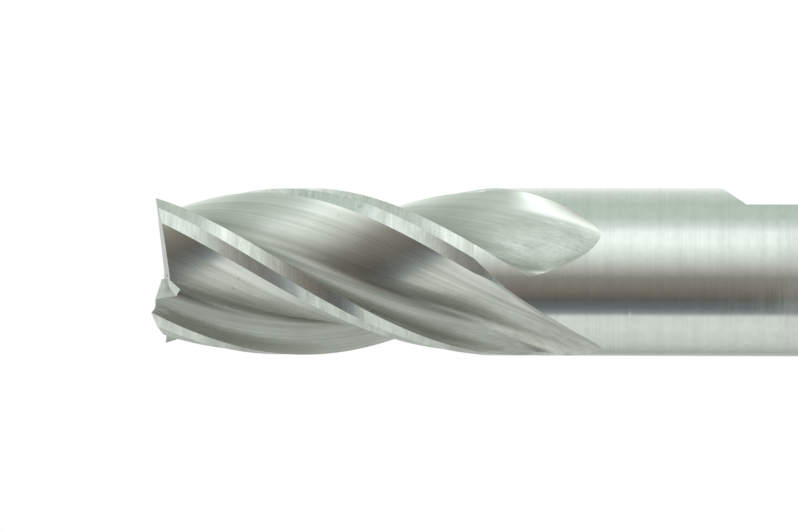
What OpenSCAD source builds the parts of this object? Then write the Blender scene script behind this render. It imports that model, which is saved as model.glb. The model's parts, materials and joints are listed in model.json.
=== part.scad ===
// Square-end four-flute end mill with a Weldon flat.
// The cutting head is high-speed steel and the shank is tough alloy steel. The two bars are
// butt-welded before turning and then ground as one, so they meet flush at a flat face.
// Origin: centre of the shank's end face. +Z runs to the cutting end. The flat faces +X.

/* [Cutting head] */
// Cutting diameter
cutter_d = 19.05; // [15:0.05:25]
// Length of cut, from the corners back to where the lands' reliefs end
cut_l = 41.275; // [30:0.005:60]
// Length over which the flutes climb out of the steel beyond the length of cut
wash_l = 9.3; // [7:0.1:14]
// Plain ground length between the flutes' ends and the weld
plain_l = 3.4; // [1:0.1:10]
// Helix angle of the cutting edges at the cutting diameter
helix_angle = 31; // [20:1:40]
// Angle at which the first tooth's corner stands, from the way the flat faces
corner_angle = 60.7; // [0:0.1:90]

/* [Teeth] */
// Hook angle of the rake face under the cutting edge
hook_angle = 12; // [6:1:16]
// Width of the primary relief behind a cutting edge
primary_w = 1.63; // [1:0.01:2]
// How far the back of the primary relief lies below the cutting diameter
primary_drop = 0.035; // [0.02:0.005:0.08]
// Width of a whole land, from its cutting edge to its heel
land_w = 3.31; // [2.6:0.01:4]
// How far the heel lies below the cutting diameter
heel_drop = 0.5; // [0.3:0.05:0.8]
// Radius of a flute's root, under the rake face
root_r = 2.4; // [2:0.1:3]
// Radius of the swelling back of a tooth, between the root and the heel
back_r = 15; // [12:0.5:20]
// Slope of the tooth's back where it leaves the heel
back_slope = 37; // [30:1:42]
// Radius on which the fluting wheel leaves the steel
wheel_r = 50; // [35:1:70]
// Length over which the lands' reliefs climb out at the end of the length of cut
relief_run = 5; // [3:0.5:8]

/* [Cutting end] */
// Dish of the end, so that only the corners touch a flat surface
dish_angle = 2.4; // [1:0.1:5]
// Relief behind an end cutting edge
end_relief = 15; // [7:1:18]
// Distance from the axis to the inner end of a gash
gash_start = 2.3; // [1.5:0.1:3]
// Depth of a gash's inner end below the cutting edge
gash_depth = 0.33; // [0.1:0.01:0.6]
// Width of a gash's floor
gash_w = 0.8; // [0.5:0.1:1.2]
// Slope of a gash's floor outwards from the axis
gash_slope = 27; // [20:1:35]
// Slope of a gash's floor towards the flute
gash_fall = 36; // [20:1:45]
// Slope of a gash's far flank
gash_flank = 43; // [35:1:75]
// Radius at which the two short end teeth stop
short_tooth_r = 1.8; // [1.2:0.1:2.2]
// Width of the notch that parts a short tooth from the middle
notch_w = 2.4; // [1.5:0.1:3]
// How much deeper the notch is at the short tooth than in the middle
notch_depth = 0.5; // [0.3:0.1:0.8]

/* [Shank] */
// Shank diameter
shank_d = 19.05; // [15:0.05:25]
// Length of the shank bar, from its end face to the weld
shank_l = 44.45; // [38:0.05:60]
// Chamfer round the shank's end face
end_chamfer = 0.8; // [0.3:0.1:1.5]
// Width of the centre hole's mouth, on which the bar was ground
centre_d = 4.2; // [3:0.1:6]
// Width of the centre hole's drilled bottom
centre_drill_d = 2; // [1.5:0.1:2.5]
// Depth of the centre hole without its drill point
centre_depth = 4.6; // [3.5:0.1:8]

/* [Weldon flat] */
// Depth of the flat below the shank's surface
flat_depth = 1.905; // [1.2:0.005:2.6]
// Length of the level part of the flat
flat_l = 11.557; // [8:0.005:13]
// Distance from the shank's end face to the middle of the flat
flat_mid = 25.797; // [20:0.005:28]
// Slope of the ramps at both ends of the flat
ramp_angle = 35; // [25:1:60]

/* [Hidden] */

tooth_count = 4;
pitch = 360 / tooth_count;
cutter_r = cutter_d / 2;
shank_r = shank_d / 2;
lead = PI * cutter_d / tan(helix_angle);
flute_end = cut_l + wash_l;
head_l = flute_end + plain_l;
overall_l = shank_l + head_l;
first_corner = corner_angle - pitch;

// Widths of the lands as angles round the axis
primary_a = degrees(primary_w / cutter_r);
land_a = degrees(land_w / cutter_r);
heel_a = pitch - land_a;

// How finely the section is drawn: steps along the rake face, the root, the back and the reliefs
rake_steps = 2;
root_steps = 7;
back_steps = 9;
relief_steps = 2;
flute_steps = rake_steps + root_steps + back_steps;
ring_step = 1.45;
wash_ring_step = 0.95;
round_steps = 96;

// Where the wash-out of a flute leaves the surface: first at the rake side, last at wash_tip_a.
// Its outline is rounded at the tip by these two powers, towards the rake side and the heel.
wash_start = cut_l + 1.4;
wash_tip_a = 0.816 * heel_a;
wash_heel = flute_end - 6.5;
rake_side_power = 1.38;
heel_side_power = 2.7;
// The sweep rises this far past the surface before the round bar trims it
proud = 1;

// The bar's surface closes on itself at this angle, to one side of the flat
seam_angle = -67.5;
// Cone of a lathe centre, and half the point angle of the drill that goes before it
centre_cone = 30;
drill_point = 59;

tiny = 0.001;
over = 2;
// An end cut runs this far past its edge, so that no fin is left standing
lap = 0.05;

function degrees(x) = x * 180 / PI;
function polar(r, a) = [r * cos(a), r * sin(a)];
function mix(a, b, t) = a + (b - a) * t;
function steps(n) = [for (i = [1:n]) i / n];
function angle_of(p) = atan2(p.y, p.x);

// One flute's section. The cutting edge lies at angle 0, the flute ahead of it, then the heel
// and the land of the tooth ahead. Root and back are arcs that touch each other and the rake face.
edge = [cutter_r, 0];
rake_way = [-cos(hook_angle), -sin(hook_angle)];
rake_out = [-sin(hook_angle), cos(hook_angle)];
heel = polar(cutter_r - heel_drop, heel_a);
back_c = heel - polar(back_r, heel_a - back_slope);
edge_to_back = edge + root_r * rake_out - back_c;
along = edge_to_back * rake_way;
reach = edge_to_back * edge_to_back - pow(back_r + root_r, 2);
rake_l = -along - sqrt(along * along - reach);
root_c = edge + rake_l * rake_way + root_r * rake_out;
root_from = hook_angle - 90;
back_from = angle_of(root_c - back_c);
root_to = back_from - 180;
root_depth = cutter_r - (norm(root_c) - root_r);

rake_points = [for (t = concat([0], steps(rake_steps))) edge + rake_l * t * rake_way];
root_points = [for (t = steps(root_steps)) root_c + polar(root_r, mix(root_from, root_to, t))];
back_points = [
    for (t = steps(back_steps))
        back_c + polar(back_r, mix(back_from, heel_a - back_slope, t))
];
flute_points = concat(rake_points, root_points, back_points);

divide = polar(cutter_r - primary_drop, pitch - primary_a);
next_edge = polar(cutter_r, pitch);
relief_points = concat(
    [for (t = steps(relief_steps)) mix(heel, divide, t)],
    [for (t = [1:relief_steps - 1]) mix(divide, next_edge, t / relief_steps)]
);

// How much of its depth a cut keeps at distance s from the tip, as a wheel leaves on its radius.
// It is 1 in the full cut, 0 where the cut reaches the surface, and negative beyond.
function kept(s, leaves, run) = 1 - pow(max(0, s - leaves + run) / run, 2);

// Distance from the tip at which the flute leaves the surface, at angle a from the cutting edge
function wash_leaves(a) =
    a < wash_tip_a
        ? mix(flute_end, wash_start, pow(1 - max(0, a) / wash_tip_a, rake_side_power))
        : mix(flute_end, wash_heel, pow((a - wash_tip_a) / (heel_a - wash_tip_a), heel_side_power));

// A flute's point number i at distance s from the tip, as [radius, angle]
function flute_point(i, s) =
    let (
        p = flute_points[i],
        depth = cutter_r - norm(p),
        spread = heel_a * i / flute_steps,
        felt = i <= rake_steps + root_steps ? root_depth : max(depth, heel_drop),
        k = kept(s, wash_leaves(spread), sqrt(2 * wheel_r * felt) * cos(helix_angle))
    )
    i == flute_steps ? relief_point(heel, s)
        : [
            cutter_r - max(-proud, depth * k),
            mix(spread, angle_of(p), sqrt(max(0, k)))
        ];

// A land's point at distance s from the tip, as [radius, angle]
function relief_point(p, s) =
    [cutter_r - (cutter_r - norm(p)) * kept(s, cut_l, relief_run), angle_of(p)];

function capped(p) = [min(p[0], cutter_r + proud), p[1]];

// One ring of the sweep at distance s from the tip
function ring(s) = [
    for (tooth = [0:tooth_count - 1])
        for (p = concat(
            [for (i = [0:flute_steps]) capped(flute_point(i, s))],
            [for (q = relief_points) capped(relief_point(q, s))]
        ))
            let (a = p[1] + tooth * pitch + first_corner - s * 360 / lead)
            [p[0] * cos(a), p[0] * sin(a), overall_l - s]
];

function even(from, to, step) =
    let (n = ceil((to - from) / step))
    [for (i = [0:n - 1]) mix(from, to, i / n)];

wash_from = cut_l - relief_run;
sweep_end = flute_end + 0.5;
ring_places = concat(
    even(0, wash_from, ring_step), even(wash_from, sweep_end, wash_ring_step), [sweep_end]
);

// Height of a plane through an end cutting edge, at x outwards and y behind the edge
function end_height(x, y) = -(cutter_r - x) * tan(dish_angle) - y * tan(end_relief);

module points_hull(points)
    hull()
        for (p = points)
            translate(p) cube(tiny, center = true);

// The fluted bar with flat ends, before its end is ground
module fluted_bar() {
    n = len(ring(0));
    last = len(ring_places) - 1;
    polyhedron(
        points = [for (s = ring_places) each ring(s)],
        faces = concat(
            [[for (i = [n - 1:-1:0]) i]],
            [
                for (k = [0:last - 1], i = [0:n - 1])
                    let (j = (i + 1) % n)
                    each [
                        [k * n + i, k * n + j, (k + 1) * n + i],
                        [k * n + j, (k + 1) * n + j, (k + 1) * n + i]
                    ]
            ],
            [[for (i = [0:n - 1]) last * n + i]]
        ),
        convexity = 8
    );
}

// The ring that trims the proud part of the sweep, where the flutes climb out, to a round bar
module wash_trim()
    translate([0, 0, shank_l + plain_l - over])
        difference() {
            cylinder(r = cutter_r + over, h = wash_l + relief_run + over);
            translate([0, 0, -over])
                cylinder(r = cutter_r, h = wash_l + relief_run + 3 * over, $fn = round_steps);
        }

// What is ground away above the end relief behind one end cutting edge
module end_relief_cut() {
    far = cutter_r + over;
    points_hull([
        for (x = [0, far], y = [-lap, far])
            each [[x, -y, end_height(x, y)], [x, -y, over]]
    ]);
}

// The gash ahead of one end cutting edge: a wall under the edge, a sloping floor and a flank
module gash_cut() {
    far = cutter_r + over;
    top = over;
    base = end_height(gash_start, 0) - gash_depth;
    function floor_at(x, y) = base - (x - gash_start) * tan(gash_slope) - y * tan(gash_fall);
    points_hull([
        for (x = [gash_start, far])
            each [
                [x, 0, top],
                [x, 0, floor_at(x, 0)],
                [x, gash_w, floor_at(x, gash_w)],
                [x, gash_w + (top - floor_at(x, gash_w)) / tan(gash_flank), top]
            ]
    ]);
}

// The notch that parts a short end tooth from the middle of the end
module centre_notch() {
    inner = 0.15;
    slant = 0.3;
    level = end_height(0, 0);
    points_hull([
        for (y = [-notch_w / 2, notch_w / 2])
            each [
                [inner, y, level],
                [short_tooth_r, y, level - notch_depth],
                [short_tooth_r + slant, y, over],
                [inner, y, over]
            ]
    ]);
}

module cutting_head()
    color([0.74, 0.76, 0.72])
        difference() {
            union() {
                difference() {
                    fluted_bar();
                    wash_trim();
                }
                translate([0, 0, shank_l])
                    cylinder(r1 = shank_r, r2 = cutter_r, h = plain_l, $fn = round_steps);
            }
            for (tooth = [0:tooth_count - 1])
                translate([0, 0, overall_l])
                    rotate([0, 0, first_corner + tooth * pitch]) {
                        end_relief_cut();
                        gash_cut();
                        if (tooth % 2 == 1) centre_notch();
                    }
        }

// What is milled away above the flat: level in the middle, with a ramp up at each end
module weldon_flat_cut() {
    ramp_l = flat_depth / tan(ramp_angle);
    clear = over / tan(ramp_angle);
    translate([shank_r - flat_depth, shank_r, flat_mid])
        rotate([90, 0, 0])
            linear_extrude(height = shank_d)
                polygon([
                    [0, -flat_l / 2],
                    [flat_depth + over, -flat_l / 2 - ramp_l - clear],
                    [flat_depth + over, flat_l / 2 + ramp_l + clear],
                    [0, flat_l / 2]
                ]);
}

// The turned bar: a chamfered cylinder with a centre hole in its end face
module shank_bar()
    rotate([0, 0, seam_angle])
        rotate_extrude($fn = round_steps)
            polygon([
                [0, centre_depth + centre_drill_d / 2 / tan(drill_point)],
                [centre_drill_d / 2, centre_depth],
                [centre_drill_d / 2, (centre_d - centre_drill_d) / 2 / tan(centre_cone)],
                [centre_d / 2, 0],
                [shank_r - end_chamfer, 0],
                [shank_r, end_chamfer],
                [shank_r, shank_l],
                [0, shank_l]
            ]);

module shank()
    color([0.78, 0.80, 0.77])
        difference() {
            shank_bar();
            weldon_flat_cut();
        }

cutting_head();
shank();
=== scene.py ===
import json
import math

import bpy
from mathutils import Matrix, Vector


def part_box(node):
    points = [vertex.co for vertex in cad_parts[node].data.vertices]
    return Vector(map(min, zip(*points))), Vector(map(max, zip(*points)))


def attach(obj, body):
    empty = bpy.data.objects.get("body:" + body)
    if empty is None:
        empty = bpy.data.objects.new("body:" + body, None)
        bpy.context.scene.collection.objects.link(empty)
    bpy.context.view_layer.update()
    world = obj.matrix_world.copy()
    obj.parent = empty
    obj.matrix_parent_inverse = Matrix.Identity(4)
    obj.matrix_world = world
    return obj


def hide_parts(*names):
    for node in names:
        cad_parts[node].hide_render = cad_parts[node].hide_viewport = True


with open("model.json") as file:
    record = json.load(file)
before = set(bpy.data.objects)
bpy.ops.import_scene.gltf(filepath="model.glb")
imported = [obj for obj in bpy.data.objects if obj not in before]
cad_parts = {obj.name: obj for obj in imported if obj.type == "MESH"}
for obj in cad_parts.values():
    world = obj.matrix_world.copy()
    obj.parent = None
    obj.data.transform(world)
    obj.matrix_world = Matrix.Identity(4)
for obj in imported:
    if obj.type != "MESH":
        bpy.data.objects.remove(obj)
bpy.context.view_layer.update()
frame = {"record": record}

mm = 0.001
mounts = {m["name"]: m for m in frame["record"]["mounts"]}
headLow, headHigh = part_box("cutting_head")
shankLow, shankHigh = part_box("shank")
tipZ = headHigh[2]
weldZ = headLow[2]
print("frame loaded: tip at", round(tipZ / mm, 3), "mm, weld at", round(weldZ / mm, 3), "mm")


# Small helpers

def deselectAll():
    if bpy.context.object and bpy.context.object.mode != "OBJECT":
        bpy.ops.object.mode_set(mode="OBJECT")
    bpy.ops.object.select_all(action="DESELECT")


def pick(piece):
    deselectAll()
    piece.select_set(True)
    bpy.context.view_layer.objects.active = piece


def linear(level):
    return level / 12.92 if level <= 0.04045 else ((level + 0.055) / 1.055) ** 2.4


def tone(r, g, b):
    return (linear(r / 255), linear(g / 255), linear(b / 255), 1.0)


def mix(a, b, t):
    return a + (b - a) * t


def clamped(x, low=0.0, high=1.0):
    return max(low, min(high, x))


def polar(r, a):
    return Vector((r * math.cos(a), r * math.sin(a)))


def angleOf(p):
    return math.atan2(p.y, p.x)


def applyModifier(piece, name):
    pick(piece)
    bpy.ops.object.modifier_apply(modifier=name)


def faceOutwards(piece):
    pick(piece)
    bpy.ops.object.mode_set(mode="EDIT")
    bpy.ops.mesh.select_all(action="SELECT")
    bpy.ops.mesh.normals_make_consistent(inside=False)
    bpy.ops.object.mode_set(mode="OBJECT")


def cutAway(piece, cutter, slot):    # the cut faces take the material in that slot
    for material in piece.data.materials:
        cutter.data.materials.append(material)
    for face in cutter.data.polygons:
        face.material_index = slot
    cut = piece.modifiers.new("cut", "BOOLEAN")
    cut.operation = "DIFFERENCE"
    cut.solver = "MANIFOLD"
    cut.object = cutter
    applyModifier(piece, "cut")
    bpy.data.objects.remove(cutter, do_unlink=True)


def sharpenBorders(piece, angle):    # smooth all over, but crisp where one finish meets another
    pick(piece)
    bpy.ops.object.shade_smooth_by_angle(angle=math.radians(angle))
    finishAt = {}
    borders = set()
    for face in piece.data.polygons:
        for key in face.edge_keys:
            if finishAt.setdefault(key, face.material_index) != face.material_index:
                borders.add(key)
    for edge in piece.data.edges:
        if edge.key in borders:
            edge.use_edge_sharp = True


# The cutting head: lengths in millimetres and angles in degrees, as on a grinding sheet

head = {
    "teeth": 4,
    "cutLength": 41.275,
    "washLength": 9.3,
    "helix": 31.0,
    "cornerAngle": 60.7,
    "hook": 12.0,
    "primaryWidth": 1.63,
    "primaryDrop": 0.035,
    "landWidth": 3.31,
    "heelDrop": 0.5,
    "rootRadius": 2.4,
    "backRadius": 15.0,
    "backSlope": 37.0,
    "wheelRadius": 50.0,
    "primaryEnd": 36.4,     # distance from the tip where the primary relief stops
    "washStart": 42.675,    # where the rake side of a flute leaves the surface
    "washHeel": 44.075,     # where the heel side starts to close
    "washTip": 0.816,       # place of the flute's last point, as a share of its width
    "rakeSidePower": 1.38,  # how round the outline is towards the rake side and the heel
    "heelSidePower": 2.7,
    "rings": 236,           # rings along the flutes
    "plainRings": 10,       # rings on the plain band behind them
    "rakeColumns": 6,
    "rootColumns": 16,
    "backColumns": 26,
    "secondColumns": 12,
    "primaryColumns": 12,
}

cutterR = shankHigh[1] / mm
pitchA = 2 * math.pi / head["teeth"]
helixA = math.radians(head["helix"])
lead = 2 * math.pi * cutterR / math.tan(helixA)
fluteEnd = head["cutLength"] + head["washLength"]
headLength = (tipZ - weldZ) / mm
firstCorner = math.radians(head["cornerAngle"]) - pitchA
primaryA = head["primaryWidth"] / cutterR
landA = head["landWidth"] / cutterR
heelA = pitchA - landA
washTipA = head["washTip"] * heelA

# The flute's section: rake face, root arc and the swelling back, each touching the next
hookA = math.radians(head["hook"])
edgePoint = Vector((cutterR, 0.0))
rakeWay = Vector((-math.cos(hookA), -math.sin(hookA)))
rakeOut = Vector((-math.sin(hookA), math.cos(hookA)))
heelPoint = polar(cutterR - head["heelDrop"], heelA)
backEndA = heelA - math.radians(head["backSlope"])
backCentre = heelPoint - polar(head["backRadius"], backEndA)
edgeToBack = edgePoint + head["rootRadius"] * rakeOut - backCentre
alongRake = edgeToBack.dot(rakeWay)
beyond = edgeToBack.dot(edgeToBack) - (head["backRadius"] + head["rootRadius"]) ** 2
rakeLength = -alongRake - math.sqrt(alongRake ** 2 - beyond)
rootCentre = edgePoint + rakeLength * rakeWay + head["rootRadius"] * rakeOut
rootFromA = hookA - math.pi / 2
backFromA = angleOf(rootCentre - backCentre)
rootToA = backFromA - math.pi
rootDepth = cutterR - (rootCentre.length - head["rootRadius"])
rakeShare, rootShare = 2 / 18, 9 / 18


def flutePoint(u):
    if u < rakeShare:
        return edgePoint + rakeLength * (u / rakeShare) * rakeWay
    if u < rootShare:
        t = (u - rakeShare) / (rootShare - rakeShare)
        return rootCentre + polar(head["rootRadius"], mix(rootFromA, rootToA, t))
    t = (u - rootShare) / (1 - rootShare)
    return backCentre + polar(head["backRadius"], mix(backFromA, backEndA, t))


def leavesAt(a):    # distance from the tip at which the flute leaves the surface
    if a < washTipA:
        closed = (1 - max(0.0, a) / washTipA) ** head["rakeSidePower"]
        return mix(fluteEnd, head["washStart"], closed)
    closed = ((a - washTipA) / (heelA - washTipA)) ** head["heelSidePower"]
    return mix(fluteEnd, head["washHeel"], closed)


def cutAt(u, s):    # radius and angle of the flute's floor at distance s from the tip
    p = flutePoint(u)
    depth = cutterR - p.length
    spread = heelA * u
    felt = rootDepth if u <= rootShare else max(depth, head["heelDrop"])
    run = math.sqrt(2 * head["wheelRadius"] * felt) * math.cos(helixA)
    kept = 1 - (max(0.0, s - leavesAt(spread) + run) / run) ** 2
    sunk = depth * kept if depth > 0 and kept > 0 else -abs(depth * kept)
    share = clamped(kept)
    return cutterR - max(-1.0, sunk), mix(spread, angleOf(p), share * (2 - share))


def reliefShare(s):
    return clamped((s - head["primaryEnd"]) / (head["cutLength"] - head["primaryEnd"]))


def chordRadius(p, q, a):    # where the line from p to q crosses the ray at angle a
    way = q - p
    ray = polar(1.0, a)
    return (p.x * way.y - p.y * way.x) / (ray.x * way.y - ray.y * way.x)


def divideAt(s):
    return pitchA - mix(primaryA, landA, reliefShare(s))


def landRadius(a, s):    # radius of a land at angle a from the cutting edge behind it
    t = reliefShare(s)
    if t >= 1:
        return cutterR
    heel = polar(cutterR - head["heelDrop"] * (1 - t), heelA)
    drop = head["primaryDrop"] if t == 0 else 0.0
    divide = polar(cutterR - drop, divideAt(s))
    if a < divideAt(s):
        return chordRadius(heel, divide, a)
    return chordRadius(divide, polar(cutterR, pitchA), a) if t == 0 else cutterR


def openFrom(s):
    left = clamped((fluteEnd - s) / (fluteEnd - head["washStart"]))
    return head["washTip"] * (1 - left ** (1 / head["rakeSidePower"]))


def openTo(s):
    if s <= head["primaryEnd"]:
        return 1.0
    if s >= fluteEnd:
        return head["washTip"]
    low = mix(openFrom(s), head["washTip"], 0.98)
    high = 1.25
    for _ in range(50):
        middle = (low + high) / 2
        r, a = cutAt(middle, s)
        if r < landRadius(a, s):
            low = middle
        else:
            high = middle
    return low


def between(count, a, b):
    return [mix(a, b, i / count) for i in range(count)]


fluteShares = (
    between(head["rakeColumns"], 0, rakeShare)
    + between(head["rootColumns"], rakeShare, rootShare)
    + between(head["backColumns"], rootShare, 1)
)


def toothRing(s):    # radius and angle of each column of one tooth
    uFrom, uTo = openFrom(s), openTo(s)
    ring = []
    for share in fluteShares:
        u = mix(uFrom, uTo, share)
        if s >= fluteEnd:
            ring.append((cutterR, washTipA))
        elif u == uFrom:
            ring.append((cutterR, heelA * uFrom))
        else:
            ring.append(cutAt(u, s))
    if s >= fluteEnd:
        heelAngle = washTipA
    elif s <= head["primaryEnd"]:
        heelAngle = heelA
    else:
        heelAngle = cutAt(uTo, s)[1]
    nextEdge = pitchA + heelA * uFrom
    if s >= fluteEnd:
        nextEdge = pitchA + washTipA
    divide = divideAt(s)
    if reliefShare(s) > 0:
        opened = clamped((s - head["cutLength"]) / 4) * 0.5
        divide = max(divide, mix(heelAngle + 0.004, nextEdge, opened))
    angles = between(head["secondColumns"], heelAngle, divide)
    angles += between(head["primaryColumns"], divide, nextEdge)
    ring += [(landRadius(a, s), a) for a in angles]
    if s <= fluteEnd:
        return ring
    spread = (s - fluteEnd) / (headLength - fluteEnd)
    count = len(ring)
    even = [washTipA + pitchA * i / count for i in range(count)]
    return [(cutterR, mix(a, evenA, spread)) for (_, a), evenA in zip(ring, even)]


def ringPlaces():
    coarse = head["rings"] // 2
    fine = head["rings"] - coarse
    step = 0.02    # the primary relief stops in a sharp step
    start = head["primaryEnd"] + step
    places = [mix(0, head["primaryEnd"], i / coarse) for i in range(coarse + 1)]
    places += [mix(start, fluteEnd, i / fine) for i in range(fine + 1)]
    plain = head["plainRings"]
    return places + [mix(fluteEnd, headLength, i / plain) for i in range(1, plain + 1)]


def endHeight(x, y):    # height of an end relief, x outwards and y ahead of its cutting edge
    return -(cutterR - x) * math.tan(dishA) + y * math.tan(endReliefA)


end = {
    "dish": 2.4,
    "relief": 15.0,
    "lap": 0.05,            # how far a cut runs past its edge, so that no fin is left standing
    "gashStart": 2.3,
    "gashDepth": 0.33,
    "gashWidth": 0.8,
    "gashSlope": 27.0,
    "gashFall": 36.0,
    "gashFlank": 43.0,
    "shortTooth": 1.8,
    "notchWidth": 2.4,
    "notchDepth": 0.5,
    "notchInner": 0.15,     # distance from the axis to the notch's inner end
    "notchSlant": 0.3,      # how far its outer end leans outwards
    "over": 2.0,
}
dishA = math.radians(end["dish"])
endReliefA = math.radians(end["relief"])


def wedge(place, turn, name):    # a cutter for the end: place gives each corner of a cube
    deselectAll()
    bpy.ops.mesh.primitive_cube_add(size=2)
    cutter = bpy.context.object
    cutter.name = name
    turned = Matrix.Rotation(turn, 3, "Z")
    for v in cutter.data.vertices:
        corner = Vector(place(v.co.x > 0, v.co.y > 0, v.co.z > 0))
        v.co = turned @ corner * mm + Vector((0, 0, tipZ))
    faceOutwards(cutter)
    return cutter


def reliefCorner(outer, ahead, top):
    far = cutterR + end["over"]
    x = far if outer else 0.0
    y = end["lap"] if ahead else -far
    return (x, y, end["over"] if top else endHeight(x, y))


def gashCorner(outer, ahead, top):
    x = cutterR + end["over"] if outer else end["gashStart"]
    y = end["gashWidth"] if ahead else 0.0
    floor = endHeight(end["gashStart"], 0) - end["gashDepth"]
    floor -= (x - end["gashStart"]) * math.tan(math.radians(end["gashSlope"]))
    floor -= y * math.tan(math.radians(end["gashFall"]))
    if not top:
        return (x, y, floor)
    if ahead:
        y += (end["over"] - floor) / math.tan(math.radians(end["gashFlank"]))
    return (x, y, end["over"])


def notchCorner(outer, ahead, top):
    y = end["notchWidth"] / 2 if ahead else -end["notchWidth"] / 2
    if not outer:
        return (end["notchInner"], y, end["over"] if top else endHeight(0, 0))
    if top:
        return (end["shortTooth"] + end["notchSlant"], y, end["over"])
    return (end["shortTooth"], y, endHeight(0, 0) - end["notchDepth"])


def fillAt(piece, z):    # closes the open ring of vertices at height z
    pick(piece)
    bpy.ops.object.mode_set(mode="EDIT")
    bpy.ops.mesh.select_all(action="DESELECT")
    bpy.ops.object.mode_set(mode="OBJECT")
    for v in piece.data.vertices:
        v.select = abs(v.co.z - z) < 1e-7
    bpy.ops.object.mode_set(mode="EDIT")
    bpy.ops.mesh.select_mode(type="VERT")
    bpy.ops.mesh.edge_face_add()
    bpy.ops.object.mode_set(mode="OBJECT")


def finishOfFace(column, s):    # which of the head's finishes a swept face has
    if s >= fluteEnd:
        return plainFinish
    if column < len(fluteShares):
        return fluteFinish
    if column < len(fluteShares) + head["secondColumns"]:
        return secondFinish if s < head["cutLength"] else plainFinish
    return primaryFinish if s < head["primaryEnd"] else plainFinish


def makeHead():
    places = ringPlaces()
    perTooth = len(toothRing(0))
    columns = head["teeth"] * perTooth
    deselectAll()
    bpy.ops.mesh.primitive_circle_add(vertices=columns, radius=cutterR * mm)
    piece = bpy.context.object
    piece.name = "head_fluted"
    screw = piece.modifiers.new("helix", "SCREW")
    screw.angle = 2 * math.pi * headLength / lead
    screw.screw_offset = -headLength * mm
    screw.steps = screw.render_steps = len(places) - 1
    screw.use_merge_vertices = False
    applyModifier(piece, "helix")
    points = []
    for s in places:
        ring = toothRing(s)
        for tooth in range(head["teeth"]):
            turn = firstCorner + tooth * pitchA - 2 * math.pi * s / lead
            for r, a in ring:
                points += [r * math.cos(a + turn) * mm, r * math.sin(a + turn) * mm, tipZ - s * mm]
    piece.data.vertices.foreach_set("co", points)
    piece.data.materials.clear()
    for material in headMaterials:
        piece.data.materials.append(material)
    for face in piece.data.polygons:
        near = min(face.vertices) // columns
        around = sorted({v % columns for v in face.vertices})
        column = around[0] if around[-1] - around[0] < 2 else around[-1]
        face.material_index = finishOfFace(column % perTooth, places[near])
    fillAt(piece, tipZ)
    fillAt(piece, weldZ)
    pick(piece)
    bpy.ops.object.mode_set(mode="EDIT")
    bpy.ops.mesh.select_all(action="SELECT")
    bpy.ops.mesh.remove_doubles(threshold=1e-6)
    bpy.ops.mesh.normals_make_consistent(inside=False)
    bpy.ops.object.mode_set(mode="OBJECT")
    print("head swept:", len(piece.data.vertices), "vertices")
    for tooth in range(head["teeth"]):
        turn = firstCorner + tooth * pitchA
        cutAway(piece, wedge(reliefCorner, turn, "relief"), groundEndFinish)
        cutAway(piece, wedge(gashCorner, turn, "gash"), groundEndFinish)
        if tooth % 2 == 1:
            cutAway(piece, wedge(notchCorner, turn, "notch"), groundEndFinish)
    pick(piece)
    bpy.ops.object.mode_set(mode="EDIT")
    bpy.ops.mesh.select_all(action="SELECT")
    bpy.ops.mesh.remove_doubles(threshold=2e-6)    # slivers that the cuts leave
    bpy.ops.mesh.dissolve_degenerate(threshold=1e-6)
    bpy.ops.object.mode_set(mode="OBJECT")
    sharpenBorders(piece, 28)
    for face in piece.data.polygons:
        face.use_smooth = face.material_index != groundEndFinish
    print("end ground:", len(piece.data.polygons), "faces")
    return piece


# The shank: a chamfered bar with a centre hole in its end and a flat for the holder's screw
flatMount = mounts["weldon_flat"]
shank = {
    "around": 256,
    "chamfer": 0.8 * mm,
    "flatLength": 11.557 * mm,
    "rampAngle": 35.0,
    "centreWidth": 4.2 * mm,
    "drillWidth": 2.0 * mm,
    "drillDepth": 4.6 * mm,
    "coneAngle": 30.0,
    "pointAngle": 59.0,
}


def flatCutter(r):
    deselectAll()
    bpy.ops.mesh.primitive_cube_add(size=2)
    cutter = bpy.context.object
    flatX, _, flatZ = flatMount["pos_m"]
    rise = r - flatX + 2 * mm
    half = shank["flatLength"] / 2
    ramp = rise / math.tan(math.radians(shank["rampAngle"]))
    for v in cutter.data.vertices:
        outer = v.co.x > 0
        z = half + ramp if outer else half
        v.co = Vector((
            flatX + rise if outer else flatX,
            math.copysign(1.5 * r, v.co.y),
            flatZ + math.copysign(z, v.co.z),
        ))
    return cutter


def coneCutter(wide, narrow, low, high):
    deselectAll()
    bpy.ops.mesh.primitive_cone_add(
        vertices=96, radius1=wide, radius2=narrow, depth=high - low,
        location=(0, 0, shankLow[2] + (low + high) / 2),
    )
    cutter = bpy.context.object
    bpy.ops.object.transform_apply(location=True, rotation=False, scale=False)
    return cutter


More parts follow.
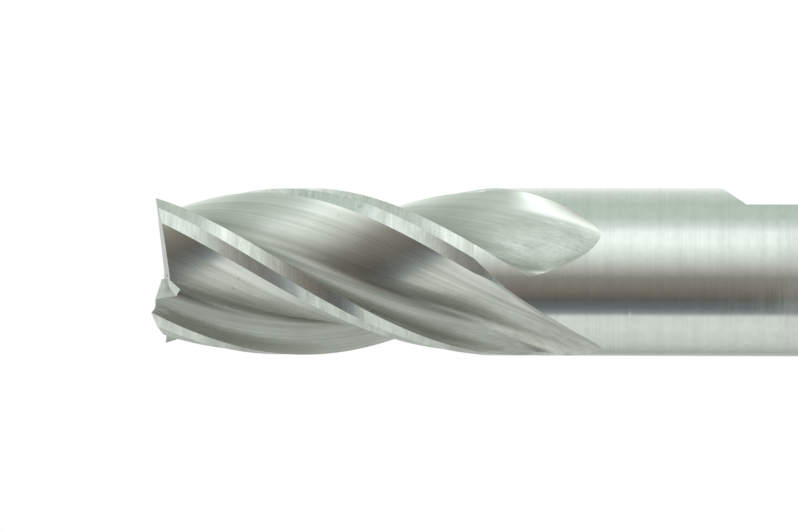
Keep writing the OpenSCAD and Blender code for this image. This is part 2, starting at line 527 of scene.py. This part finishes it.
def makeShank():
    r = mounts["shank"]["dims"]["r_mm"] * mm
    deselectAll()
    bpy.ops.mesh.primitive_cylinder_add(
        vertices=shank["around"], radius=r, depth=weldZ - shankLow[2],
        location=(0, 0, (weldZ + shankLow[2]) / 2),
    )
    piece = bpy.context.object
    piece.name = "shank_bar"
    bpy.ops.object.transform_apply(location=True, rotation=False, scale=False)
    bpy.ops.object.mode_set(mode="EDIT")
    bpy.ops.mesh.select_mode(type="EDGE")
    bpy.ops.mesh.select_all(action="DESELECT")
    bpy.ops.object.mode_set(mode="OBJECT")
    for e in piece.data.edges:
        e.select = all(piece.data.vertices[i].co.z < shankLow[2] + 1e-7 for i in e.vertices)
    bpy.ops.object.mode_set(mode="EDIT")
    bpy.ops.mesh.bevel(offset=shank["chamfer"], segments=1)
    bpy.ops.object.mode_set(mode="OBJECT")
    piece.data.materials.clear()
    for material in shankMaterials:
        piece.data.materials.append(material)
    for face in piece.data.polygons:
        face.material_index = turnedFinish if face.normal.z < -0.3 else barFinish
    cutAway(piece, flatCutter(r), milledFinish)
    mouth, drill = shank["centreWidth"] / 2, shank["drillWidth"] / 2
    slope = math.tan(math.radians(shank["coneAngle"]))
    clear = 0.5 * mm
    cone = coneCutter(mouth + clear * slope, drill, -clear, (mouth - drill) / slope)
    cutAway(piece, cone, turnedFinish)
    cutAway(piece, coneCutter(drill, drill, clear, shank["drillDepth"]), turnedFinish)
    point = drill / math.tan(math.radians(shank["pointAngle"]))
    bottom = shank["drillDepth"] - 0.01 * mm    # laps the drilled hole a little
    cutAway(piece, coneCutter(drill, 0, bottom, bottom + point), turnedFinish)
    sharpenBorders(piece, 20)
    return piece


# Shader groups that the finishes share

def newGroup(name, inputs, outputs):
    group = bpy.data.node_groups.new(name, "ShaderNodeTree")
    for label, kind, value in inputs:
        kind = "NodeSocket" + kind
        socket = group.interface.new_socket(name=label, in_out="INPUT", socket_type=kind)
        socket.default_value = value
    for label in outputs:
        kind = "NodeSocketVector" if label == "Place" else "NodeSocketFloat"
        group.interface.new_socket(name=label, in_out="OUTPUT", socket_type=kind)
    return group, group.nodes.new("NodeGroupInput"), group.nodes.new("NodeGroupOutput")


def mathNode(tree, operation, first, second=None, third=None, clamp=False):
    node = tree.nodes.new("ShaderNodeMath")
    node.operation = operation
    node.use_clamp = clamp
    for i, value in enumerate((first, second, third)):
        if value is None:
            continue
        if isinstance(value, (int, float)):
            node.inputs[i].default_value = value
        else:
            tree.links.new(value, node.inputs[i])
    return node.outputs[0]


def noiseNode(tree, place, scale, detail, roughness):
    node = tree.nodes.new("ShaderNodeTexNoise")
    node.inputs["Scale"].default_value = scale
    node.inputs["Detail"].default_value = detail
    node.inputs["Roughness"].default_value = roughness
    tree.links.new(place, node.inputs["Vector"])
    return node.outputs["Fac"]


def makeHelixPlace():    # straightens the flutes: what runs along one has one place across it
    group, start, finish = newGroup(
        "helixPlace", [("Place", "Vector", (0, 0, 0)), ("Turn", "Float", 0.0)], ["Place"]
    )
    apart = group.nodes.new("ShaderNodeSeparateXYZ")
    turn = group.nodes.new("ShaderNodeVectorRotate")
    turn.rotation_type = "Z_AXIS"
    group.links.new(start.outputs["Place"], apart.inputs[0])
    angle = mathNode(group, "MULTIPLY", apart.outputs["Z"], start.outputs["Turn"])
    group.links.new(start.outputs["Place"], turn.inputs["Vector"])
    group.links.new(angle, turn.inputs["Angle"])
    group.links.new(turn.outputs["Vector"], finish.inputs["Place"])
    return group


def makeGrindLines():    # fine and broad wheel marks, long one way and narrow the other
    group, start, finish = newGroup(
        "grindLines",
        [("Place", "Vector", (0, 0, 0)), ("Stretch", "Vector", (1, 1, 1))],
        ["Fine", "Broad"],
    )
    stretched = group.nodes.new("ShaderNodeVectorMath")
    stretched.operation = "MULTIPLY"
    group.links.new(start.outputs["Place"], stretched.inputs[0])
    group.links.new(start.outputs["Stretch"], stretched.inputs[1])
    for label, scale, detail in (("Fine", 1.0, 3.0), ("Broad", 0.24, 2.0)):
        noise = noiseNode(group, stretched.outputs[0], scale, detail, 0.6)
        spread = mathNode(group, "MULTIPLY_ADD", noise, 2.4, -0.7, clamp=True)
        group.links.new(spread, finish.inputs[label])
    return group


def makePatches():    # soft uneven patches, as handling and oil leave on steel
    group, start, finish = newGroup(
        "patches", [("Place", "Vector", (0, 0, 0)), ("Size", "Float", 300.0)], ["Patches"]
    )
    scaled = group.nodes.new("ShaderNodeVectorMath")
    scaled.operation = "SCALE"
    group.links.new(start.outputs["Place"], scaled.inputs[0])
    group.links.new(start.outputs["Size"], scaled.inputs["Scale"])
    noise = noiseNode(group, scaled.outputs[0], 1.0, 4.0, 0.55)
    spread = mathNode(group, "MULTIPLY_ADD", noise, 2.2, -0.6, clamp=True)
    group.links.new(spread, finish.inputs["Patches"])
    return group


def makeSpecks():    # a few small dark pits
    group, start, finish = newGroup(
        "specks",
        [("Place", "Vector", (0, 0, 0)), ("Size", "Float", 900.0), ("Share", "Float", 0.02)],
        ["Specks"],
    )
    scaled = group.nodes.new("ShaderNodeVectorMath")
    scaled.operation = "SCALE"
    cells = group.nodes.new("ShaderNodeTexVoronoi")
    apart = group.nodes.new("ShaderNodeSeparateColor")
    group.links.new(start.outputs["Place"], scaled.inputs[0])
    group.links.new(start.outputs["Size"], scaled.inputs["Scale"])
    group.links.new(scaled.outputs[0], cells.inputs["Vector"])
    group.links.new(cells.outputs["Color"], apart.inputs[0])
    cells.inputs["Scale"].default_value = 1.0
    chosen = mathNode(group, "LESS_THAN", apart.outputs[0], start.outputs["Share"])
    spot = mathNode(group, "MULTIPLY_ADD", cells.outputs["Distance"], -6.0, 1.9, clamp=True)
    group.links.new(mathNode(group, "MULTIPLY", chosen, spot), finish.inputs["Specks"])
    return group


def makeDeepShade():    # painted shade: 1 in the deepest part of a flute, fading to 0 further out
    group, start, finish = newGroup(
        "deepShade",
        [("Place", "Vector", (0, 0, 0)), ("Deepest", "Float", 0.005), ("Fades", "Float", 0.0025)],
        ["Shade"],
    )
    apart = group.nodes.new("ShaderNodeSeparateXYZ")
    group.links.new(start.outputs["Place"], apart.inputs[0])
    across = mathNode(group, "MULTIPLY", apart.outputs["X"], apart.outputs["X"])
    squared = mathNode(group, "MULTIPLY_ADD", apart.outputs["Y"], apart.outputs["Y"], across)
    radius = mathNode(group, "SQRT", squared)
    above = mathNode(group, "SUBTRACT", radius, start.outputs["Deepest"])
    share = mathNode(group, "DIVIDE", above, start.outputs["Fades"], clamp=True)
    group.links.new(mathNode(group, "SUBTRACT", 1.0, share), finish.inputs["Shade"])
    return group


def makeHeelReflectionBand():    # painted reflection: 1 on the narrow bright band that runs along a flute under its heel, standing in for the light a differently sloped wall reflects there
    group, start, finish = newGroup(
        "heelReflectionBand",
        [
            ("Place", "Vector", (0, 0, 0)), ("Shift", "Float", 0.0), ("Teeth", "Float", 4.0),
            ("Middle", "Float", 0.74), ("Half width", "Float", 0.09), ("Starts", "Float", 0.05),
            ("Before", "Float", 0.4), ("Edge", "Float", 28.0), ("Rise", "Float", 300.0),
        ],
        ["Band"],
    )
    apart = group.nodes.new("ShaderNodeSeparateXYZ")
    group.links.new(start.outputs["Place"], apart.inputs[0])
    turned = mathNode(group, "ARCTAN2", apart.outputs["Y"], apart.outputs["X"])
    inTeeth = mathNode(group, "MULTIPLY", turned, start.outputs["Teeth"])
    inTeeth = mathNode(group, "MULTIPLY_ADD", inTeeth, 0.5 / math.pi, start.outputs["Shift"])
    share = mathNode(group, "FRACT", inTeeth)
    away = mathNode(group, "SUBTRACT", share, start.outputs["Middle"])
    away = mathNode(group, "ABSOLUTE", away)
    inside = mathNode(group, "SUBTRACT", start.outputs["Half width"], away)
    across = mathNode(group, "MULTIPLY", inside, start.outputs["Edge"], clamp=True)
    below = mathNode(group, "SUBTRACT", start.outputs["Starts"], apart.outputs["Z"])
    along = mathNode(group, "MULTIPLY", below, start.outputs["Rise"], clamp=True)
    stronger = mathNode(group, "MAXIMUM", along, start.outputs["Before"])
    group.links.new(mathNode(group, "MULTIPLY", across, stronger), finish.inputs["Band"])
    return group


def mixColours(tree, way, share, first, second):
    node = tree.nodes.new("ShaderNodeMix")
    node.data_type = "RGBA"
    node.blend_type = way
    tree.links.new(share, node.inputs[0])
    colours = [socket for socket in node.inputs if socket.type == "RGBA"]
    tree.links.new(first, colours[0])
    colours[1].default_value = (*second, 1)
    return [socket for socket in node.outputs if socket.type == "RGBA"][0]


helixPlace = makeHelixPlace()
grindLines = makeGrindLines()
patches = makePatches()
specks = makeSpecks()
deepShade = makeDeepShade()
heelReflectionBand = makeHeelReflectionBand()

# The finishes: tones from the darkest to the lightest line, how rough they are, how many lines
# there are to the metre across and along their run, and how deep the lines look
finishes = {
    "groundFlute": {
        "dark": (0.50, 0.505, 0.475), "light": (0.82, 0.825, 0.785), "rough": (0.22, 0.36),
        "stretch": (4200, 4200, 55), "helix": True, "fine": 0.45, "patchSize": 260,
        "patch": 0.25, "depth": 0.12, "speckShare": 0.012,
    },
    "groundSecond": {
        "dark": (0.60, 0.62, 0.60), "light": (0.92, 0.94, 0.92), "rough": (0.26, 0.44),
        "stretch": (500, 500, 3600), "helix": False, "fine": 0.5, "patchSize": 500,
        "patch": 0.3, "depth": 0.45, "speckShare": 0.03,
    },
    "groundPrimary": {
        "dark": (0.60, 0.61, 0.58), "light": (0.90, 0.91, 0.88), "rough": (0.14, 0.28),
        "stretch": (400, 400, 4200), "helix": False, "fine": 0.5, "patchSize": 500,
        "patch": 0.25, "depth": 0.3, "speckShare": 0.02,
    },
    "groundPlain": {
        "dark": (0.74, 0.755, 0.735), "light": (0.84, 0.855, 0.835), "rough": (0.07, 0.12),
        "stretch": (140, 140, 5200), "helix": False, "fine": 0.45, "patchSize": 900,
        "patch": 0.7, "depth": 0.03, "speckShare": 0.012,
    },
    "groundEnd": {
        "dark": (0.62, 0.62, 0.60), "light": (0.88, 0.88, 0.86), "rough": (0.16, 0.3),
        "stretch": (2600, 300, 300), "helix": False, "fine": 0.5, "patchSize": 600,
        "patch": 0.3, "depth": 0.2, "speckShare": 0.0,
    },
    "groundBar": {
        "dark": (0.74, 0.755, 0.735), "light": (0.84, 0.855, 0.835), "rough": (0.07, 0.12),
        "stretch": (140, 140, 5200), "helix": False, "fine": 0.45, "patchSize": 900,
        "patch": 0.7, "depth": 0.03, "speckShare": 0.012,
    },
    "milledFlat": {
        "dark": (0.52, 0.54, 0.53), "light": (0.82, 0.84, 0.82), "rough": (0.2, 0.36),
        "stretch": (300, 300, 2400), "helix": False, "fine": 0.6, "patchSize": 500,
        "patch": 0.3, "depth": 0.5, "speckShare": 0.01,
    },
    "turnedEnd": {
        "dark": (0.5, 0.51, 0.5), "light": (0.8, 0.81, 0.8), "rough": (0.22, 0.38),
        "stretch": (900, 900, 2400), "helix": False, "fine": 0.5, "patchSize": 500,
        "patch": 0.3, "depth": 0.3, "speckShare": 0.01,
    },
}


def groupNode(tree, group, place, **values):
    node = tree.nodes.new("ShaderNodeGroup")
    node.node_tree = group
    tree.links.new(place, node.inputs["Place"])
    for label, value in values.items():
        node.inputs[label].default_value = value
    return node.outputs


# Painted light on the flutes: a painted shade darkens each flute's root where its walls would
# shade it, and a painted reflection, a bright smooth band, runs along each flute under its heel
flutePaintedLight = {
    "deepest": 4.8 * mm,    # up to this radius the root has its whole painted shade
    "fades": 2.0 * mm,
    "rootShadeTone": (0.42, 0.41, 0.39),
    "heelReflectionTone": (0.96, 0.965, 0.94),
    "bandSmoother": 0.65,
    "bandBrightens": 38.5 * mm,    # distance from the tip beyond which the painted reflection is strongest
}
twist = 2 * math.pi / (lead * mm)
bandShift = (twist * tipZ - firstCorner) / pitchA


def makeFinish(name):
    look = finishes[name]
    material = bpy.data.materials.new(name)
    material.use_nodes = True
    tree = material.node_tree
    shader = tree.nodes["Principled BSDF"]
    shader.inputs["Metallic"].default_value = 1.0
    where = tree.nodes.new("ShaderNodeTexCoord").outputs["Object"]
    linesAt = where
    if look["helix"]:
        linesAt = groupNode(tree, helixPlace, where, Turn=-twist)["Place"]
    lines = groupNode(tree, grindLines, linesAt, Stretch=look["stretch"])
    patch = groupNode(tree, patches, where, Size=look["patchSize"])["Patches"]
    pits = groupNode(tree, specks, where, Size=1100.0, Share=look["speckShare"])["Specks"]
    fine = mathNode(tree, "MULTIPLY", lines["Fine"], look["fine"])
    both = mathNode(tree, "MULTIPLY_ADD", lines["Broad"], 1 - look["fine"], fine)
    dulled = mathNode(tree, "MULTIPLY_ADD", patch, -look["patch"], both)
    level = mathNode(tree, "MULTIPLY_ADD", pits, -1.2, dulled)
    level = mathNode(tree, "ADD", level, look["patch"] / 2, clamp=True)
    ramp = tree.nodes.new("ShaderNodeValToRGB")
    ramp.color_ramp.elements[0].color = (*look["dark"], 1)
    ramp.color_ramp.elements[1].color = (*look["light"], 1)
    tree.links.new(level, ramp.inputs["Fac"])
    colour = ramp.outputs["Color"]
    smooth, coarse = look["rough"]
    rough = mathNode(tree, "MULTIPLY_ADD", lines["Broad"], smooth - coarse, coarse)
    if look["helix"]:
        # Painted light: the root's painted shade is multiplied into the colour, and the heel's
        # painted reflection is mixed in as a lighter, smoother band
        deepest, fades = flutePaintedLight["deepest"], flutePaintedLight["fades"]
        deep = groupNode(tree, deepShade, where, Deepest=deepest, Fades=fades)["Shade"]
        colour = mixColours(tree, "MULTIPLY", deep, colour, flutePaintedLight["rootShadeTone"])
        band = groupNode(
            tree, heelReflectionBand, linesAt, Shift=bandShift, Teeth=head["teeth"],
            Starts=tipZ - flutePaintedLight["bandBrightens"],
        )["Band"]
        colour = mixColours(tree, "MIX", band, colour, flutePaintedLight["heelReflectionTone"])
        inBand = mathNode(tree, "MULTIPLY", rough, band)
        rough = mathNode(tree, "MULTIPLY_ADD", inBand, -flutePaintedLight["bandSmoother"], rough)
    tree.links.new(colour, shader.inputs["Base Color"])
    tree.links.new(rough, shader.inputs["Roughness"])
    bump = tree.nodes.new("ShaderNodeBump")
    bump.inputs["Strength"].default_value = look["depth"]
    bump.inputs["Distance"].default_value = 0.00003
    tree.links.new(both, bump.inputs["Height"])
    tree.links.new(bump.outputs["Normal"], shader.inputs["Normal"])
    return material


headMaterials = [makeFinish(n) for n in (
    "groundFlute", "groundSecond", "groundPrimary", "groundPlain", "groundEnd",
)]
fluteFinish, secondFinish, primaryFinish, plainFinish, groundEndFinish = range(5)
shankMaterials = [makeFinish(n) for n in ("groundBar", "milledFlat", "turnedEnd")]
barFinish, milledFinish, turnedFinish = range(3)
print("finishes made")

headPiece = makeHead()
shankPiece = makeShank()
for piece, node in ((headPiece, "cutting_head"), (shankPiece, "shank")):
    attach(piece, "root")
    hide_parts(node)
print("head and shank made")

# Floor, light and camera

deselectAll()
bpy.ops.mesh.primitive_plane_add(size=1.2, location=(0, 0, shankLow[2]))
floor = bpy.context.object
floor.name = "studio_floor"
bpy.ops.object.transform_apply(location=True, rotation=False, scale=False)
paper = bpy.data.materials.new("palePaper")
paper.use_nodes = True
paperShader = paper.node_tree.nodes["Principled BSDF"]
paperShader.inputs["Base Color"].default_value = (0.86, 0.86, 0.86, 1)
paperShader.inputs["Roughness"].default_value = 0.9
floor.data.materials.append(paper)

# Soft panels all round the tool's axis, as stops of one gradient: the angle from the front
# towards the flat's side, and the panel's tone
panels = [
    (-180, 190, 194, 190),
    (-144, 158, 162, 158),
    (-115, 190, 196, 190),
    (-80, 205, 210, 204),
    (-64, 200, 206, 200),
    (-58, 128, 134, 136),
    (-50, 98, 104, 106),
    (-38, 88, 88, 84),
    (-26, 114, 106, 98),
    (-8, 128, 128, 120),
    (4, 170, 168, 162),
    (16, 196, 202, 196),
    (28, 218, 226, 218),
    (42, 240, 247, 240),
    (56, 234, 244, 240),
    (66, 206, 216, 210),
    (80, 184, 196, 186),
    (108, 178, 190, 180),
    (134, 196, 206, 198),
    (164, 222, 230, 224),
    (180, 190, 194, 190),
]


def makeWorld():
    world = bpy.data.worlds.new("softStudio")
    bpy.context.scene.world = world
    world.use_nodes = True
    tree = world.node_tree
    nodes, links = tree.nodes, tree.links
    place = nodes.new("ShaderNodeTexCoord")
    turn = nodes.new("ShaderNodeMapping")
    turn.vector_type = "POINT"
    turn.inputs["Rotation"].default_value = (0, 0, math.radians(90))
    around = nodes.new("ShaderNodeTexGradient")
    around.gradient_type = "RADIAL"
    ramp = nodes.new("ShaderNodeValToRGB")
    stops = ramp.color_ramp.elements
    while len(stops) > 1:
        stops.remove(stops[-1])
    for i, (angle, r, g, b) in enumerate(panels):
        where = (angle + 180) / 360
        stop = stops[0] if i == 0 else stops.new(where)
        stop.position = where
        stop.color = tone(r, g, b)
    soft = nodes["Background"]
    soft.inputs["Strength"].default_value = 1.25
    plain = nodes.new("ShaderNodeBackground")
    plain.inputs["Color"].default_value = (1, 1, 1, 1)
    sight = nodes.new("ShaderNodeLightPath")
    either = nodes.new("ShaderNodeMixShader")
    links.new(place.outputs["Generated"], turn.inputs["Vector"])
    links.new(turn.outputs["Vector"], around.inputs["Vector"])
    links.new(around.outputs["Fac"], ramp.inputs["Fac"])
    links.new(ramp.outputs["Color"], soft.inputs["Color"])
    links.new(sight.outputs["Is Camera Ray"], either.inputs["Fac"])
    links.new(soft.outputs[0], either.inputs[1])
    links.new(plain.outputs[0], either.inputs[2])
    links.new(either.outputs[0], nodes["World Output"].inputs["Surface"])


makeWorld()

view = {
    "distance": 476.25,     # from the tool's axis, in millimetres
    "yaw": 4.07,            # degrees, from the shank's side towards the tip
    "roll": 0.002,          # radians
    "aim": 27.38,           # how far behind the tip the view is centred
    "above": 0.64,
    "lens": 188.14,
}


def makeCamera():
    yaw = math.radians(view["yaw"])
    back = Vector((0, -math.cos(yaw), -math.sin(yaw)))
    right = Vector((0, math.sin(yaw), -math.cos(yaw)))
    up = Vector((1, 0, 0))
    rolledRight = (right + view["roll"] * up).normalized()
    rolledUp = (up - view["roll"] * right).normalized()
    aim = Vector((view["above"] * mm, 0, tipZ - view["aim"] * mm))
    data = bpy.data.cameras.new("studioCamera")
    data.sensor_width = 36
    data.lens = view["lens"]
    camera = bpy.data.objects.new("studioCamera", data)
    bpy.context.scene.collection.objects.link(camera)
    turned = Matrix((rolledRight, rolledUp, back)).transposed().to_4x4()
    camera.matrix_world = Matrix.Translation(aim + back * view["distance"] * mm) @ turned
    bpy.context.scene.camera = camera


makeCamera()
bpy.context.scene.view_settings.view_transform = "Standard"
print("camera and light set")
